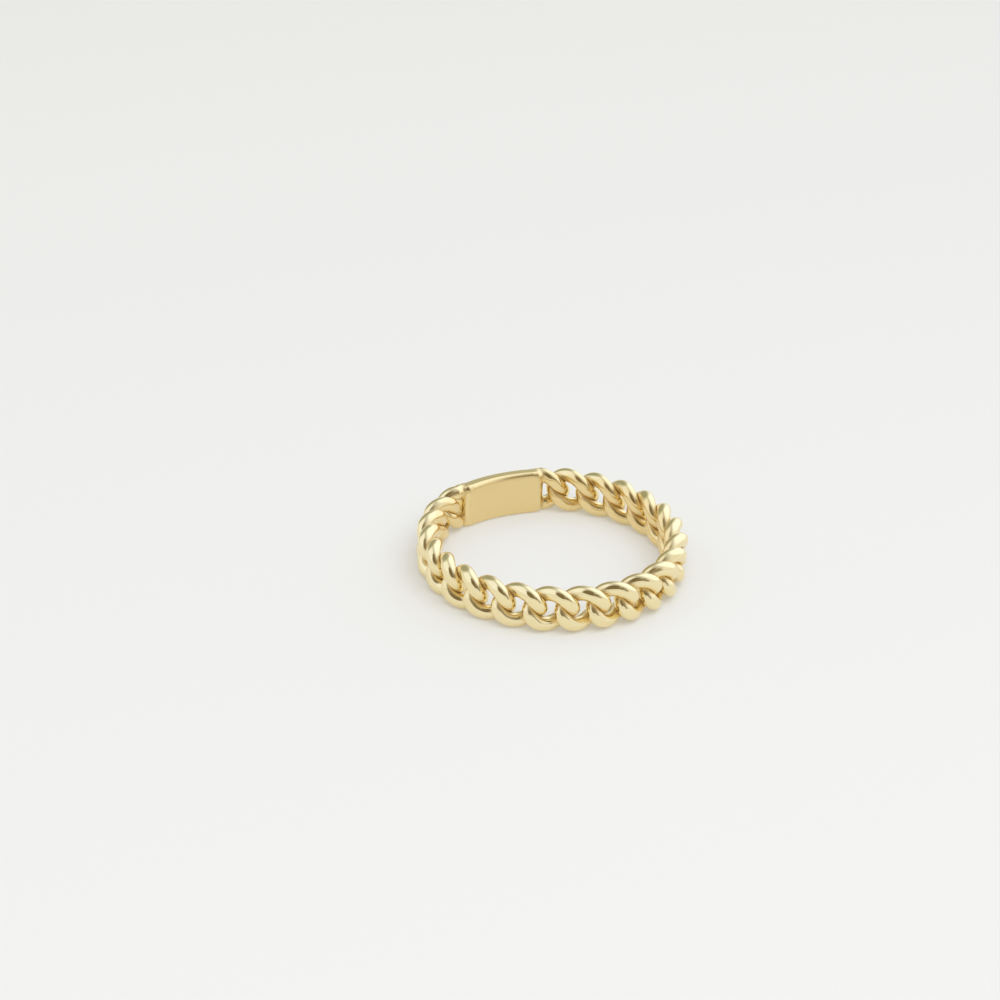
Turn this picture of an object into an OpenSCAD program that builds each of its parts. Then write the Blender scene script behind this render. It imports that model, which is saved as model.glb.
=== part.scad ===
// Curb chain finger ring with a plain curved plate, lying on its side.
// Twisted wire links are hooked through each other round the finger. Their crowns are filed flush, outside
// and inside. The plate closes the loop, and half a link is soldered to each of its ends.
// The origin is on the surface that the ring lies on, in the middle of the finger hole. The plate is at +Y.

/* [Band] */
// Middle of the finger hole to the middle of the band
band_r = 9.5; // [8:0.25:12]
// Width of the band along the finger, which is its height as it lies
band_h = 3.6; // [3.2:0.1:4.6]
// Thickness of the band between its filed faces
band_t = 1.82; // [1.6:0.02:1.94]

/* [Links] */
// Free links, beside the two half links on the plate
link_count = 21; // [19:1:23]
// Diameter of the wire that the links are bent from
wire_d = 1.12; // [1:0.02:1.18]
// How far the end wires of two hooked links reach past each other, centre to centre
lap = 0.76; // [0.7:0.02:0.88]
// How far the twist carries a strand out of, or into, the middle of the band
twist = 0.43; // [0.41:0.02:0.51]
// Lean of a link's top and bottom, each to its own side
lean = 0.2; // [0:0.05:0.35]
// How much the strands are drawn straight towards a link's top and bottom
draw = 0.08; // [0:0.02:0.14]
// Gap between the wires of two hooked links, measured at a corner of the wire
gap = 0.1; // [0.1:0.01:0.16]

/* [Plate] */
// Length of the plate from end face to end face, along the band
plate_len = 7.4; // [5:0.2:10]
// Thickness of the plate
plate_t = 1.3; // [1.16:0.02:1.5]
// How far the middle of the plate stands in from the filed inner faces of the links
plate_in = 0.1; // [0.04:0.06:0.34]
// Radius that the plate's curve has over that of a round band, as it is bent a little flatter
plate_flatter = 1.9; // [0.6:0.1:2.4]
// Rounding of the plate's outer edges
outer_round = 0.5; // [0.2:0.05:0.6]
// Rounding of the plate's inner edges
inner_round = 0.26; // [0.14:0.02:0.32]
// Rounding of the plate's four upright corners
corner_round = 0.35; // [0.35:0.05:0.5]
// Middle of each half link to the plate's end face
shoulder = 0.22; // [0.2:0.02:0.4]
// Length of wire that runs on inside the plate where a half link is soldered in
tail = 0.6; // [0.3:0.1:1]

/* [Hidden] */
gold = "#e3c07a";
$fn = 96;
deg = 180 / PI;

// The loop: the plate takes plate_angle, and the rest is shared out between the links
wire_r = wire_d / 2;
plate_angle = (plate_len + 2 * shoulder) / band_r * deg;
pitch_angle = (360 - plate_angle) / (link_count + 1);
pitch = band_r * pitch_angle / deg;
first_angle = 90 + plate_angle / 2;

// A link's wire has link_sides stations round the loop and wire_sides corners round the wire
link_sides = 16;
wire_sides = 6;
step = 360 / link_sides;
corner_step = 360 / wire_sides;
// A wire with few sides has its corners a little outside the round wire, so that it holds as much metal
corner_r = wire_r * sqrt(PI / (wire_sides / 2 * sin(corner_step)));
tail_taper = 0.6;

// The plate's own curve, about a centre further back than the ring's
bend_in = band_r - band_t / 2 - plate_in + plate_flatter;
bend_out = bend_in + plate_t;
plate_half = plate_len / (bend_in + bend_out) * deg;

function link_name(i) = str("link_", i < 10 ? "0" : "", i);
function unit(v) = v / norm(v);

// Middle line of a link's wire at t degrees round it: along the band, along the finger, and outwards
function middle(t) = [
    (pitch + lap) / 2 * cos(t) + lean * sin(t),
    (band_h / 2 - wire_r) * sin(t) - draw * (sin(3 * t) + sin(t)),
    twist * sin(2 * t)
];
function heading(t) = unit(middle(t + 1) - middle(t - 1));

// Distance from a point to the middle line of the hooked link on its side
neighbour = [for (t = [90:4:270]) middle(t) + [pitch, 0, 0]];
function to_neighbour(p) = let (q = p[0] < 0 ? [-p[0], -p[1], p[2]] : p) min([for (n = neighbour) norm(q - n)]);

// How far the wire reaches from its middle line before it bears on its neighbour, found by halving
function reach(from, way, low, high, tries = 9) =
    tries == 0 ? low :
    let (mid = (low + high) / 2)
    to_neighbour(from + mid * way) > mid + gap
        ? reach(from, way, mid, high, tries - 1)
        : reach(from, way, low, mid, tries - 1);

// One corner of the wire, pressed clear of its neighbour and filed flush with the faces of the band
function filed(p) = [
    p[0],
    max(-band_h / 2, min(band_h / 2, p[1])),
    max(-band_t / 2, min(band_t / 2, p[2]))
];
function corner(t, c) =
    let (
        along = heading(t),
        out = unit([along[1], -along[0], 0]),
        way = cos(c) * out + sin(c) * cross(along, out),
        from = middle(t),
        clear = to_neighbour(from + corner_r * way) > corner_r + gap
    )
    filed(from + (clear ? corner_r : reach(from, way, 0, corner_r)) * way);
function wire_ring(t) = [for (k = [0:wire_sides - 1]) corner(t, k * corner_step)];

// The end of a tail, a smaller copy of the ring that it starts from, further along the band
function tail_ring(t, side) =
    let (from = middle(t))
    [for (p = wire_ring(t)) [
        from[0] + side * (tail + shoulder),
        from[1] + tail_taper * (p[1] - from[1]),
        from[2] + tail_taper * (p[2] - from[2])
    ]];

// Bends a point of the flat chain round the finger
function bent(p, angle) =
    let (a = angle + p[0] / band_r * deg, r = band_r + p[2])
    [r * cos(a), r * sin(a), band_h / 2 + p[1]];

// Skins a row of wire rings, closed in a loop or capped at both ends
module skin(rings, closed) {
    n = len(rings);
    m = wire_sides;
    walls = [
        for (i = [0:(closed ? n : n - 1) - 1], k = [0:m - 1])
        let (a = i * m, b = (i + 1) % n * m, j = (k + 1) % m)
        each [[a + k, b + k, a + j], [a + j, b + k, b + j]]
    ];
    caps = closed ? [] : [[for (k = [0:m - 1]) k], [for (k = [m - 1:-1:0]) (n - 1) * m + k]];
    polyhedron([for (ring = rings) each ring], concat(walls, caps), convexity = 6);
}

module link(i) {
    angle = first_angle + i * pitch_angle;
    color(gold)
    skin([for (s = [0:link_sides - 1]) [for (p = wire_ring(s * step)) bent(p, angle)]], true);
}

// The free half of an end link, with its two tails inside the plate. side is 1 where the plate is
// counterclockwise of it and -1 where it is clockwise.
module half_link(side) {
    angle = 90 - side * plate_angle / 2;
    start = side > 0 ? 90 : -90;
    free = [for (s = [0:link_sides / 2]) wire_ring(start + s * step)];
    rings = concat([tail_ring(start, side)], free, [tail_ring(start + 180, side)]);
    skin([for (ring = rings) [for (p = ring) bent(p, angle)]], false);
}

// Cross-section of the plate, with small inner and large outer edge rounds
module plate_section() {
    translate([bend_in + inner_round, 0])
    square([plate_t - inner_round - outer_round, band_h]);
    translate([bend_in, inner_round])
    square([plate_t - outer_round, band_h - 2 * inner_round]);
    translate([bend_in + inner_round, outer_round])
    square([plate_t - inner_round, band_h - 2 * outer_round]);
    for (z = [inner_round, band_h - inner_round])
        translate([bend_in + inner_round, z])
        circle(inner_round);
    for (z = [outer_round, band_h - outer_round])
        translate([bend_out - outer_round, z])
        circle(outer_round);
}

// Part of a flat ring seen from above, between two radii and two angles each side of +Y
module sector(inner, outer, half) {
    far = 2 * outer;
    intersection() {
        difference() {
            circle(outer);
            circle(inner);
        }
        polygon([[0, 0], far * [sin(half), cos(half)], [0, far], far * [-sin(half), cos(half)]]);
    }
}

// The plate seen from above, with its upright corners rounded
module plate_plan() {
    r = corner_round;
    in_turn = asin(r / (bend_in + r));
    out_turn = asin(r / (bend_out - r));
    sector(bend_in, bend_out, plate_half - in_turn);
    sector(bend_in + r, bend_out - r, plate_half);
    for (side = [-1, 1]) {
        rotate(side * (plate_half - in_turn))
        translate([0, bend_in + r])
        circle(r);
        rotate(side * (plate_half - out_turn))
        translate([0, bend_out - r])
        circle(r);
    }
}

module plate_body() {
    translate([0, -plate_flatter, 0])
    intersection() {
        rotate(90 - plate_half - 5)
        rotate_extrude(angle = 2 * plate_half + 10)
        plate_section();
        translate([0, 0, -1])
        linear_extrude(band_h + 2)
        plate_plan();
    }
}

module plate() {
    color(gold) {
        plate_body();
        half_link(1);
        half_link(-1);
    }
}

plate();
for (i = [1:link_count])
    link(i);
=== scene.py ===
import bpy
import numpy as np
from mathutils import Matrix, Vector


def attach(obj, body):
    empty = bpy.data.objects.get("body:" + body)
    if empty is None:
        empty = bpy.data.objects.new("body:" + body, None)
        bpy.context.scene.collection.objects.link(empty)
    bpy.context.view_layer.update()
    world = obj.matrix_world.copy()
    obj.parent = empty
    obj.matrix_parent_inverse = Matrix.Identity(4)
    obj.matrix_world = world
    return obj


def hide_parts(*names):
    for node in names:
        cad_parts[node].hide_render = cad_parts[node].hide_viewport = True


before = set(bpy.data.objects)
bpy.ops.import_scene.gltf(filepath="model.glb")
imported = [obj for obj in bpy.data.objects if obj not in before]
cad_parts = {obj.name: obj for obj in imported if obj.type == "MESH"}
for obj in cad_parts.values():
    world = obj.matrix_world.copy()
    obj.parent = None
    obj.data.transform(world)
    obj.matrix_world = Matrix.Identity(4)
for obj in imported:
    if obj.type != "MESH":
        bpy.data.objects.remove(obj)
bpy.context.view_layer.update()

# Links
# Twenty-one loops of round 14 carat wire, each given a quarter turn, hooked through each other and soldered
# shut. The made-up chain is filed flat inside and out, then tumbled in steel shot, which rounds the filed
# edges and brings up the polish.
MM = 0.001
band_r = 9.5
band_h = 3.6
band_t = 1.82
link_count = 21
wire_r = 0.56
# How far two hooked links reach past each other, how far the twist carries a strand inwards or outwards, the
# lean of a link's top and bottom, and how much its strands are drawn straight
lap = 0.76
twist = 0.43
lean = 0.2
draw = 0.08
# The plate and its shoulders take their length of the loop, and the links share out the rest
plate_len = 7.4
shoulder = 0.22
plate_at = np.pi / 2
plate_angle = (plate_len + 2 * shoulder) / band_r
pitch_angle = (2 * np.pi - plate_angle) / (link_count + 1)
pitch = band_r * pitch_angle


# In the flat chain a point has three numbers: how far along the band, how far up it, and how far outwards
def wire_middle(t):
    """The middle line of a link's wire, at the angles t round the loop."""
    along = (pitch + lap) / 2 * np.cos(t) + lean * np.sin(t)
    up = (band_h / 2 - wire_r) * np.sin(t) - draw * (np.sin(3 * t) + np.sin(t))
    return np.stack([along, up, twist * np.sin(2 * t)], -1)


def unit(v):
    """Vectors of the same ways, one long."""
    return v / np.linalg.norm(v, axis=-1, keepdims=True)


def distance_to_line(points, line):
    """Distance from each point to a line of short straight pieces."""
    start, run = line[:-1], line[1:] - line[:-1]
    away = points[..., None, :] - start
    share = np.clip((away * run).sum(-1) / (run * run).sum(-1), 0, 1)
    return np.linalg.norm(away - share[..., None] * run, axis=-1).min(-1)


def soft_min(a, b, width):
    """The smaller of two lengths, with the corner between them rounded off."""
    near = np.maximum(width - np.abs(a - b), 0) / width
    return np.minimum(a, b) - near * near * width / 4


def bend(points, angle):
    """Bends points of the flat chain round the finger, with the chain's own middle at that angle."""
    turn = angle + points[..., 0] / band_r
    radius = band_r + points[..., 2]
    return np.stack([radius * np.cos(turn), radius * np.sin(turn), band_h / 2 + points[..., 1]], -1)


# The near half of the next link's middle line, a point every 1.5 degrees round its loop
hooked_line = wire_middle(np.radians(np.arange(88, 273, 1.5))) + [pitch, 0, 0]


def to_hooked(points):
    """Distance to the middle line of the link that is hooked in on the point's own side."""
    mirrored = np.where(points[..., :1] < 0, points * [-1, -1, 1], points)
    return distance_to_line(mirrored, hooked_line)


# Points along and round the wire, the gap left where two wires bear on each other, and how softly the pressed
# and the filed faces run out
stations, round_count = 144, 40
bearing_gap = 0.015
bearing_soft = 0.05
filed_soft = 0.07
# The shot gets in less within this distance of the next link's wire, and the gold is duller there. The colour
# is painted darker over the same reach, as painted shade between the links.
tucked_reach = 0.48
# The inner side of the band starts this far inside its middle, and is full this much further in
inner_side_from = 0.2
inner_side_blend = 0.35
# The bearing face is looked for up to this far from the wire's middle, by halving
search_reach = 1.6 * wire_r
halvings = 14
heading_step = 0.01


def inward(outwards):
    """How fully a point of the band lies on its inner side, which faces the finger."""
    return np.clip((-outwards - inner_side_from) / inner_side_blend, 0, 1)


def tumbled_wire(t):
    """Rows of points round the wire, pressed in where it bears on the next link, and filed flush."""
    middle = wire_middle(t)
    along = unit(wire_middle(t + heading_step) - wire_middle(t - heading_step))
    out = unit(np.stack([along[:, 1], -along[:, 0], 0 * t], -1))
    up = np.cross(along, out)
    c = np.linspace(0, 2 * np.pi, round_count, endpoint=False)[:, None]
    way = np.cos(c) * out[:, None] + np.sin(c) * up[:, None]
    start = middle[:, None]
    low, high = np.zeros(way.shape[:2]), np.full(way.shape[:2], search_reach)
    for _ in range(halvings):
        mid = (low + high) / 2
        clear = to_hooked(start + mid[..., None] * way) > mid + bearing_gap
        low, high = np.where(clear, mid, low), np.where(clear, high, mid)
    points = start + soft_min(low, wire_r, bearing_soft)[..., None] * way
    raw = np.abs(points[..., 2])
    points[..., 2] = np.sign(points[..., 2]) * soft_min(raw, band_t / 2, filed_soft)
    points[..., 1] = np.sign(points[..., 1]) * soft_min(np.abs(points[..., 1]), band_h / 2, bearing_soft)
    filed = np.clip((raw - band_t / 2) / filed_soft + 0.5, 0, 1)
    tucked = np.clip(1 - (to_hooked(points) - wire_r) / tucked_reach, 0, 1)
    return points, filed, tucked, inward(points[..., 2])


def linear(hex_colour):
    """An sRGB hex colour as the linear RGBA that Blender's sockets take."""
    srgb = np.array([int(hex_colour[i:i + 2], 16) for i in (1, 3, 5)]) / 255
    rgb = np.where(srgb <= 0.04045, srgb / 12.92, ((srgb + 0.055) / 1.055) ** 2.4)
    return (*rgb.tolist(), 1.0)


def add_node(owner, kind, settings, links=()):
    """Adds a node to a material or world. Settings are its inputs, by name or number, or its properties."""
    node = owner.node_tree.nodes.new("ShaderNode" + kind)
    for name, value in settings.items():
        if isinstance(name, int) or name in node.inputs:
            node.inputs[name].default_value = value
        else:
            setattr(node, name, value)
    for name, output in dict(links).items():
        owner.node_tree.links.new(output, node.inputs[name])
    return node


def add_piece(name, points, faces):
    """Makes a smooth mesh object from points in millimetres."""
    mesh = bpy.data.meshes.new(name)
    mesh.from_pydata((points * MM).tolist(), [], faces.tolist())
    mesh.shade_smooth()
    piece = bpy.data.objects.new(name, mesh)
    bpy.context.scene.collection.objects.link(piece)
    return piece


def mark(piece, name, values):
    """Stores a number at each point of the mesh, for its material."""
    attribute = piece.data.attributes.new(name, "FLOAT", "POINT")
    attribute.data.foreach_set("value", values.ravel().astype(np.float32))


# 14 carat yellow gold, tumbled: a pale, slightly greenish yellow mirror, softened by hairlines too fine to
# see one by one. The inside of the band and the places where two links bear on each other get less of the
# shot, and the gold there stays duller. Its colour is painted deeper there too: inside the band as a painted
# reflection of the band's own gold, and where links bear on each other as painted shade.
gold = bpy.data.materials.new("tumbled_14_carat_gold")
gold.use_nodes = True
gold.node_tree.nodes.clear()
place = add_node(gold, "TexCoord", {}).outputs["Object"]
tucked_in = add_node(gold, "Attribute", {"attribute_name": "tucked"}).outputs["Fac"]
filed_flat = add_node(gold, "Attribute", {"attribute_name": "filed"}).outputs["Fac"]
inside = add_node(gold, "Attribute", {"attribute_name": "inside"}).outputs["Fac"]

# Cloudy patches 1.3 mm across, where the alloy has polished up a little warmer
cloud_mm = 1.3
cloud = add_node(gold, "TexNoise", {"Scale": 1 / (cloud_mm * MM), "Detail": 3, "Roughness": 0.55},
                 {"Vector": place})
alloy = add_node(gold, "Mix", {"data_type": "RGBA", 6: linear("#faebbc"), 7: linear("#f7e6b4")},
                 {0: cloud.outputs["Fac"]})
# The inside of the band is painted a deeper gold, a painted reflection of the band's own gold mirrored across
# it
inside_painted_reflection = add_node(gold, "Mix", {"data_type": "RGBA", 7: linear("#f4dda4")}, {0: inside, 6: alloy.outputs[2]})
# Where links bear on each other the colour is painted deeper still: painted shade in the crevices between
# them
tucked_painted_shade = 0.35
painted_shade_share = add_node(gold, "Math", {"operation": "MULTIPLY", 1: tucked_painted_shade}, {0: tucked_in})
alloy_with_painted_shade = add_node(gold, "Mix", {"data_type": "RGBA", 7: linear("#eec98a")},
                {0: painted_shade_share.outputs[0], 6: inside_painted_reflection.outputs[2]})

# Smears in the polish, 0.35 mm across
smear_mm = 0.35
smear = add_node(gold, "TexNoise", {"Scale": 1 / (smear_mm * MM), "Detail": 4, "Roughness": 0.6},
                 {"Vector": place})
polish = add_node(gold, "MapRange", {"From Min": 0.3, "From Max": 0.7, "To Min": 0.07, "To Max": 0.11},
                  {"Value": smear.outputs["Fac"]})
inside_duller = 0.08
tucked_duller = 0.45
less_shot = add_node(gold, "Math", {"operation": "MULTIPLY_ADD", 1: inside_duller},
                     {0: inside, 2: polish.outputs[0]})
roughness = add_node(gold, "Math", {"operation": "MULTIPLY_ADD", 1: tucked_duller},
                     {0: tucked_in, 2: less_shot.outputs[0]})

# Tumbling leaves dimples 0.16 mm apart, well under a micrometre deep
dimple_mm = 0.16
dimple_depth_mm = 0.0006
dimples = add_node(gold, "TexNoise", {"Scale": 1 / (dimple_mm * MM), "Detail": 2}, {"Vector": place})
# Hairlines run up the filed faces, drawn 0.06 mm apart so that they show at all, and six times as long
hairline_mm = 0.06
hairline_depth_mm = 0.0003
hairline_stretch = 6
stretched = add_node(gold, "Mapping", {"vector_type": "TEXTURE", "Scale": (1, 1, hairline_stretch)},
                     {"Vector": place})
hairlines = add_node(gold, "TexNoise", {"Scale": 1 / (hairline_mm * MM), "Detail": 1},
                     {"Vector": stretched.outputs[0]})
dimpled = add_node(gold, "Bump", {"Strength": 1.0, "Distance": dimple_depth_mm * MM},
                   {"Height": dimples.outputs["Fac"]})
lined = add_node(gold, "Bump", {"Distance": hairline_depth_mm * MM},
                 {"Height": hairlines.outputs["Fac"], "Strength": filed_flat, "Normal": dimpled.outputs[0]})
gold_shader = add_node(gold, "BsdfPrincipled", {"Metallic": 1.0},
                       {"Base Color": alloy_with_painted_shade.outputs[2], "Roughness": roughness.outputs[0],
                        "Normal": lined.outputs[0]})
add_node(gold, "OutputMaterial", {}, {"Surface": gold_shader.outputs[0]})

round_the_loop = np.linspace(0, 2 * np.pi, stations, endpoint=False)
loop_points, loop_filed, loop_tucked, loop_inside = tumbled_wire(round_the_loop)
row, col = np.meshgrid(np.arange(stations), np.arange(round_count), indexing="ij")
next_row, next_col = (row + 1) % stations, (col + 1) % round_count
loop_faces = np.stack([row * round_count + col, row * round_count + next_col,
                       next_row * round_count + next_col, next_row * round_count + col], -1).reshape(-1, 4)
for number in range(1, link_count + 1):
    angle = plate_at + plate_angle / 2 + number * pitch_angle
    link = add_piece(f"curb_link_{number:02d}", bend(loop_points, angle).reshape(-1, 3), loop_faces)
    mark(link, "filed", loop_filed)
    mark(link, "tucked", loop_tucked)
    mark(link, "inside", loop_inside)
    link.data.materials.append(gold)
    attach(link, "root")
    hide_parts(f"link_{number:02d}")

# Plate
# A bar of the same gold, bent a little flatter than the ring, with half a link soldered to each end. Its
# outer edges are well rounded, its inner ones only broken, and its inner face is left satin from fine paper.
plate_t = 1.3
plate_in = 0.1
plate_flatter = 1.9
outer_round = 0.6
inner_round = 0.36
end_outer_round = 0.45
end_inner_round = 0.5
face_corner = 0.55
# Towards an end the end rounds take over, from this far before it and over this length
end_from = 0.9
end_blend = 0.6
# The wire runs on inside the plate by the tail and gets thinner there, and solder fills the corner round it.
# Further than solder_zone in from the plate's ends there is nothing of it.
tail = 0.6
tail_taper = 0.19
solder = 0.16
solder_zone = 1.2
plate_mid = band_r - band_t / 2 - plate_in + plate_flatter + plate_t / 2


def rounded_edge(over_a, over_b, round_by):
    """Distance out of the edge where two faces meet, from how far a point is over each of them."""
    a, b = over_a + round_by, over_b + round_by
    return np.hypot(np.maximum(a, 0), np.maximum(b, 0)) + np.minimum(np.maximum(a, b), 0) - round_by


def plate_frame(points):
    """Along, across and up the plate, unbent from its own curve."""
    x, y, z = points.T
    back = y + plate_flatter
    return np.arctan2(x, back) * plate_mid, np.hypot(x, back) - plate_mid, z - band_h / 2


def bar(points):
    """Distance out of the bare plate."""
    along, across, up = plate_frame(points)
    outline = rounded_edge(np.abs(along) - plate_len / 2, np.abs(up) - band_h / 2, face_corner)
    near_end = np.clip((np.abs(along) - plate_len / 2 + end_from) / end_blend, 0, 1)
    inner = inner_round + (end_inner_round - inner_round) * near_end
    outer = outer_round + (end_outer_round - outer_round) * near_end
    return rounded_edge(outline, np.abs(across) - plate_t / 2, np.where(across < 0, inner, outer))


into_plate = [tail + shoulder, 0, 0]
# The middle line of a half link with its two tails, and the near half of the link that is hooked into it, a
# point every 2 degrees round the loop
half_line = wire_middle(np.radians(np.arange(90, 271, 2.0)))
half_line = np.concatenate([half_line[:1] + into_plate, half_line, half_line[-1:] + into_plate])
half_hooked_line = wire_middle(np.radians(np.arange(-92, 93, 2.0))) - [pitch, 0, 0]


def half_links(points):
    """Distance out of the half link on the point's own side of the plate."""
    x, y, z = points.T
    side = np.where(x > 0, 1, -1)
    turn = np.arctan2(y, x) - plate_at + side * plate_angle / 2
    flat = np.stack([side * turn * band_r, side * (z - band_h / 2), np.hypot(x, y) - band_r], -1)
    own = distance_to_line(flat, half_line)
    thinner = tail_taper * np.clip((flat[:, 0] - shoulder) / tail, 0, 1)
    wire = own - wire_r + thinner
    bearing = (own + bearing_gap - distance_to_line(flat, half_hooked_line)) / 2
    pressed = -soft_min(-wire, -bearing, bearing_soft)
    return -soft_min(-pressed, band_t / 2 - np.abs(flat[:, 2]), filed_soft)


def soldered(points):
    """Distance out of the plate with its half links, with a fillet of solder between them."""
    body = bar(points)
    ends = np.abs(plate_frame(points)[0]) > plate_len / 2 - solder_zone
    joined = body.copy()
    joined[ends] = soft_min(body[ends], half_links(points[ends]), solder)
    return np.maximum(joined, np.abs(points[:, 2] - band_h / 2) - band_h / 2)


def slope(field, points):
    """The field at each point, and the way and rate at which it grows."""
    nudge = 0.002
    here = field(points)
    rates = [(field(points + step) - here) / nudge for step in nudge * np.eye(3)]
    return here, np.stack(rates, -1)


def tube(rows):
    """Points and faces of a closed tube through rows of points, with its two ends capped."""
    count, sides = rows.shape[:2]
    row, col = np.meshgrid(np.arange(count - 1), np.arange(sides), indexing="ij")
    across = (col + 1) % sides
    walls = np.stack([row * sides + col, row * sides + across,
                      (row + 1) * sides + across, (row + 1) * sides + col], -1)
    first, last = np.arange(sides)[::-1], (count - 1) * sides + np.arange(sides)
    return rows.reshape(-1, 3), walls.reshape(-1, 4).tolist() + [first.tolist(), last.tolist()]


# Rough solids of the bar and of the two half links are merged into one skin of small squares, and then each
# of its points is moved onto the true surface, a part of the way at a time
voxel = 0.045
settle_rounds = 6
settle_by = 0.8
least_rate = 0.2
lumps = [], []


def add_lump(points, faces):
    """Adds a closed rough solid to the plate's lumps."""
    base = len(lumps[0])
    lumps[0].extend((points * MM).tolist())
    lumps[1].extend([[base + i for i in face] for face in faces])


def on_bar(turn, outwards, up_by):
    """A point of the bar, by its angle round the plate's own centre and its place in the bar's section."""
    radius = plate_mid + outwards
    return radius * np.sin(turn), radius * np.cos(turn) - plate_flatter, band_h / 2 + up_by


bar_stations = 60
bar_turns = np.linspace(-plate_len / 2, plate_len / 2, bar_stations) / plate_mid
bar_corners = np.array([(-1, -1), (1, -1), (1, 1), (-1, 1)]) * [plate_t / 2, band_h / 2]
bar_rows = np.stack([[on_bar(turn, *corner) for corner in bar_corners] for turn in bar_turns])
add_lump(*tube(bar_rows))
half_rows = tumbled_wire(np.radians(np.arange(90, 271, 3.0)))[0]
half_rows = np.concatenate([half_rows[:1] + into_plate, half_rows, half_rows[-1:] + into_plate])
for side in (1, -1):
    add_lump(*tube(bend(half_rows * [side, side, 1], plate_at - side * plate_angle / 2)))

rough = bpy.data.meshes.new("plate_rough")
rough.from_pydata(lumps[0], [], lumps[1])
plate = bpy.data.objects.new("curved_plate_and_half_links", rough)
bpy.context.scene.collection.objects.link(plate)
remesh = plate.modifiers.new("one_skin", "REMESH")
remesh.mode = "VOXEL"
remesh.voxel_size = voxel * MM
skinned = bpy.data.meshes.new_from_object(plate.evaluated_get(bpy.context.evaluated_depsgraph_get()))
plate.modifiers.clear()
plate.data = skinned
skinned.name = "curved_plate_and_half_links"

skin = np.zeros(len(skinned.vertices) * 3, np.float32)
skinned.vertices.foreach_get("co", skin)
skin = skin.reshape(-1, 3).astype(float) / MM
for _ in range(settle_rounds):
    off, rate = slope(soldered, skin)
    skin -= settle_by * (off / np.maximum((rate * rate).sum(-1), least_rate))[:, None] * rate
skinned.vertices.foreach_set("co", (skin * MM).astype(np.float32).ravel())
skinned.update()
skinned.shade_smooth()
skinned.normals_split_custom_set_from_vertices(unit(slope(soldered, skin)[1]).tolist())

# The shot gets in less near the corner between bar and wire, and the gold is duller there; its colour there
# is painted darker, as painted shade in the corner. The satin face lies within satin_depth of the bar's inner
# surface and fades out over satin_fade. Where the skin is more than off_bar away it is solder.
corner_reach = 0.25
satin_depth = 0.05
satin_fade = 0.04
off_bar = 0.02
no_wire = 9.0
along, across, _ = plate_frame(skin)
ends = np.abs(along) > plate_len / 2 - solder_zone
from_wire = np.full(len(skin), no_wire)
from_wire[ends] = np.abs(half_links(skin[ends]))
from_bar = np.abs(bar(skin))
inner_face = np.clip((-plate_t / 2 + satin_depth - across) / satin_fade, 0, 1)
mark(plate, "tucked", np.clip(1 - (from_wire + from_bar) / corner_reach, 0, 1))
mark(plate, "satin", inner_face * (from_bar < off_bar))
# The inside mark makes the plate's inner face duller and paints it a deeper gold, a painted reflection as on
# the links
mark(plate, "inside", inward(np.hypot(skin[:, 0], skin[:, 1]) - band_r))

# The same gold, with a satin inner face: fine paper drawn along the band leaves short lines, about 0.02 mm
# apart on the real one and drawn 0.05 mm apart here, that spread each reflection into an even glow
plate_gold = gold.copy()
plate_gold.name = "tumbled_and_satin_14_carat_gold"
nodes = plate_gold.node_tree.nodes
shader = next(n for n in nodes if n.type == "BSDF_PRINCIPLED")
satin_face = add_node(plate_gold, "Attribute", {"attribute_name": "satin"}).outputs["Fac"]
satin_place = add_node(plate_gold, "TexCoord", {}).outputs["Object"]
paper_mm = 0.05
paper_depth_mm = 0.0012
paper_stretch = 14
satin_duller = 0.2
drawn = add_node(plate_gold, "Mapping", {"vector_type": "TEXTURE", "Scale": (paper_stretch, 1, 1)},
                 {"Vector": satin_place})
paper_lines = add_node(plate_gold, "TexNoise", {"Scale": 1 / (paper_mm * MM), "Detail": 3, "Roughness": 0.7},
                       {"Vector": drawn.outputs[0]})
old_normal = shader.inputs["Normal"].links[0].from_socket
old_roughness = shader.inputs["Roughness"].links[0].from_socket
satin_bump = add_node(plate_gold, "Bump", {"Distance": paper_depth_mm * MM},
                      {"Height": paper_lines.outputs["Fac"], "Strength": satin_face, "Normal": old_normal})
satin_roughness = add_node(plate_gold, "Math", {"operation": "MULTIPLY_ADD", 1: satin_duller},
                           {0: satin_face, 2: old_roughness})
plate_gold.node_tree.links.new(satin_bump.outputs[0], shader.inputs["Normal"])
plate_gold.node_tree.links.new(satin_roughness.outputs[0], shader.inputs["Roughness"])
plate.data.materials.clear()
plate.data.materials.append(plate_gold)
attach(plate, "root")
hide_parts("plate")

# Floor
# A wide sheet of frosted opal acrylic, as is laid under small goods. The undersides of the links reflect it.
# It is also made to glow weakly and warmly of itself, a painted glow that keeps the shadows under the ring
# soft and warm.
floor_half = 1500.0
floor_corners = np.array([[-1, -1, 0], [1, -1, 0], [1, 1, 0], [-1, 1, 0]]) * floor_half
floor = add_piece("opal_acrylic_floor", floor_corners, np.array([[0, 1, 2, 3]]))
# Frosted opal acrylic: matt, sending back two fifths of the light on it, with a blasted grain about 0.4 mm
# across. Together with its painted glow it comes out nearly white.
acrylic = bpy.data.materials.new("frosted_opal_acrylic")
acrylic.use_nodes = True
acrylic.node_tree.nodes.clear()
grain_mm = 0.4
grain_depth_mm = 0.01
acrylic_place = add_node(acrylic, "TexCoord", {}).outputs["Object"]
grain = add_node(acrylic, "TexNoise", {"Scale": 1 / (grain_mm * MM), "Detail": 3}, {"Vector": acrylic_place})
acrylic_colour = add_node(acrylic, "Mix", {"data_type": "RGBA", 6: linear("#a3a8ad"), 7: linear("#a6abb0")},
                          {0: grain.outputs["Fac"]})
acrylic_bump = add_node(acrylic, "Bump", {"Strength": 0.3, "Distance": grain_depth_mm * MM},
                        {"Height": grain.outputs["Fac"]})
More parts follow.
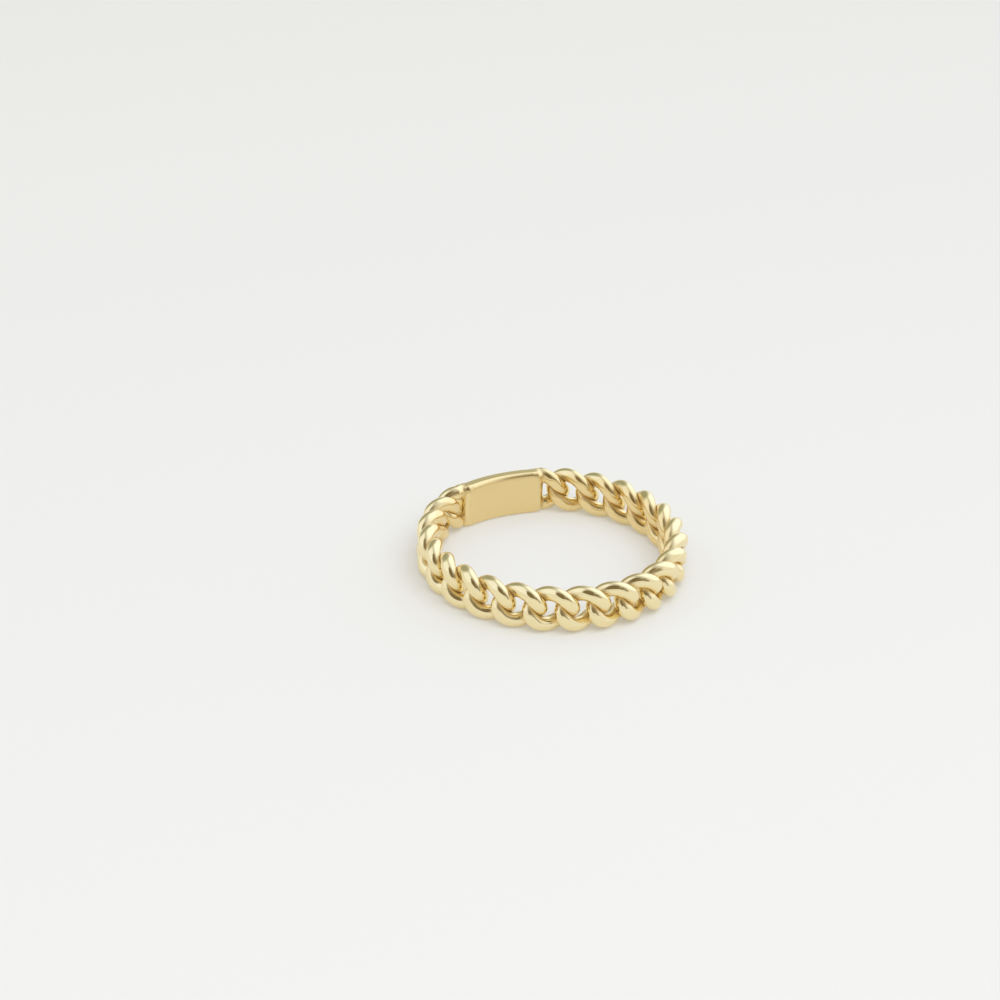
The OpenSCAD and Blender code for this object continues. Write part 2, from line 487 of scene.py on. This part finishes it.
# The emission is the painted glow: warm light the sheet gives out of itself, lifting the shadows under the
# ring
acrylic_shader = add_node(acrylic, "BsdfPrincipled",
                          {"Roughness": 0.85, "Emission Color": linear("#fff1d6"), "Emission Strength": 0.34},
                          {"Base Color": acrylic_colour.outputs[2], "Normal": acrylic_bump.outputs[0]})
add_node(acrylic, "OutputMaterial", {}, {"Surface": acrylic_shader.outputs[0]})
floor.data.materials.append(acrylic)

# Light
# A pale tent, as small polished goods are lit in, with a broad window behind on the right and a softer one to
# the left. The gold also reflects the dim room behind on the left, and the dark camera stand in front.
# A soft box over the camera's side lights the floor and is kept out of the reflections.
scene = bpy.context.scene
view_turn = np.radians(-28.18)
room = bpy.data.worlds.new("pale_tent")
room.use_nodes = True
room.node_tree.nodes.clear()
way = add_node(room, "TexCoord", {}).outputs["Generated"]
height = add_node(room, "SeparateXYZ", {}, {0: way}).outputs["Z"]
tent = add_node(room, "ValToRGB", {}, {0: height})
tent.color_ramp.elements.new(0.4)
for element, grey in zip(tent.color_ramp.elements, (0.78, 0.90, 0.60)):
    element.color = (grey, grey, grey, 1)
around = tent.outputs[0]
# Azimuth from the camera's side round to the right and height above the table, then the radius of the even
# core and of the faded edge, all in degrees, with the colour and how bright it is beside the tent
for azimuth, up_angle, core, edge, colour, bright in (
    (131, 34, 26, 50, "#e9f1ff", 1.42),
    (-88, 46, 24, 44, "#eff4ff", 1.15),
    (-154, 24, 14, 38, "#f4f6dc", 0.42),
    (-3, 64, 15, 25, "#ecd5a8", 0.28),
    (-5, 46, 21, 27, "#ecd5a8", 0.24),
    (40, 42, 7, 19, "#f2e2c4", 0.38),
    (28, 33, 6, 15, "#f2e2c4", 0.26),
    (46, 20, 6, 15, "#f2e2c4", 0.34),
):
    turn, rise = view_turn + np.radians(azimuth), np.radians(up_angle)
    centre = (np.cos(rise) * np.sin(turn), -np.cos(rise) * np.cos(turn), np.sin(rise))
    lined_up = add_node(room, "VectorMath", {"operation": "DOT_PRODUCT", 1: centre}, {0: way})
    share = add_node(room, "MapRange",
                     {"From Min": np.cos(np.radians(edge)), "From Max": np.cos(np.radians(core)),
                      "interpolation_type": "SMOOTHSTEP"},
                     {"Value": lined_up.outputs["Value"]}).outputs[0]
    shade = (*(bright * np.array(linear(colour)[:3])), 1)
    around = add_node(room, "Mix", {"data_type": "RGBA", 7: shade}, {0: share, 6: around}).outputs[2]
lit = add_node(room, "Background", {"Strength": 1.0}, {"Color": around})
seen = add_node(room, "Background", {"Color": linear("#efefed"), "Strength": 1.0})
straight = add_node(room, "LightPath", {}).outputs["Is Camera Ray"]
shown = add_node(room, "MixShader", {}, {0: straight, 1: lit.outputs[0], 2: seen.outputs[0]})
add_node(room, "OutputWorld", {}, {"Surface": shown.outputs[0]})
scene.world = room

soft_box = bpy.data.lights.new("overhead_soft_box", "AREA")
soft_box.shape = "RECTANGLE"
soft_box.size = 700 * MM
soft_box.size_y = 600 * MM
soft_box.energy = 3.9
soft_box_at = bpy.data.objects.new("overhead_soft_box", soft_box)
soft_box_at.location = [distance * MM for distance in (-20, -300, 520)]
soft_box_at.rotation_euler = soft_box_at.location.to_track_quat("Z", "Y").to_euler()
soft_box_at.visible_glossy = False
scene.collection.objects.link(soft_box_at)
scene.view_settings.view_transform = "Standard"

# Camera
# A long lens 22 cm from the ring and 28 degrees above the floor, at the photograph's angle. The frame is 1000
# pixels wide, the focal length is given in its pixels, and the ring's middle lies at aim_px in it.
camera_up_angle = np.radians(28.214)
camera_roll = np.radians(-2.396)
camera_away = 222.38
frame_px = 1000
focal_px = 2893.61
aim_px = (552.1, 546.3)
sensor_mm = 36
right = np.array([np.cos(view_turn), np.sin(view_turn), 0])
level = np.array([-np.sin(view_turn), np.cos(view_turn), 0])
view_up = np.sin(camera_up_angle) * level + [0, 0, np.cos(camera_up_angle)]
forward = np.cos(camera_up_angle) * level - [0, 0, np.sin(camera_up_angle)]
side_axis = np.cos(camera_roll) * right - np.sin(camera_roll) * view_up
up_axis = np.sin(camera_roll) * right + np.cos(camera_roll) * view_up
shift_right = camera_away * (aim_px[0] - frame_px / 2) / focal_px
shift_down = camera_away * (aim_px[1] - frame_px / 2) / focal_px
camera_spot = [0, 0, band_h / 2] - camera_away * forward - shift_right * side_axis + shift_down * up_axis
camera = bpy.data.objects.new("camera", bpy.data.cameras.new("camera"))
camera.data.sensor_width = sensor_mm
camera.data.lens = focal_px * sensor_mm / frame_px
camera.data.clip_start = 10 * MM
camera.data.clip_end = 10000 * MM
camera_axes = Matrix(np.stack([side_axis, up_axis, -forward], -1).tolist()).to_4x4()
camera.matrix_world = Matrix.Translation(Vector(camera_spot * MM)) @ camera_axes
scene.collection.objects.link(camera)
scene.camera = camera
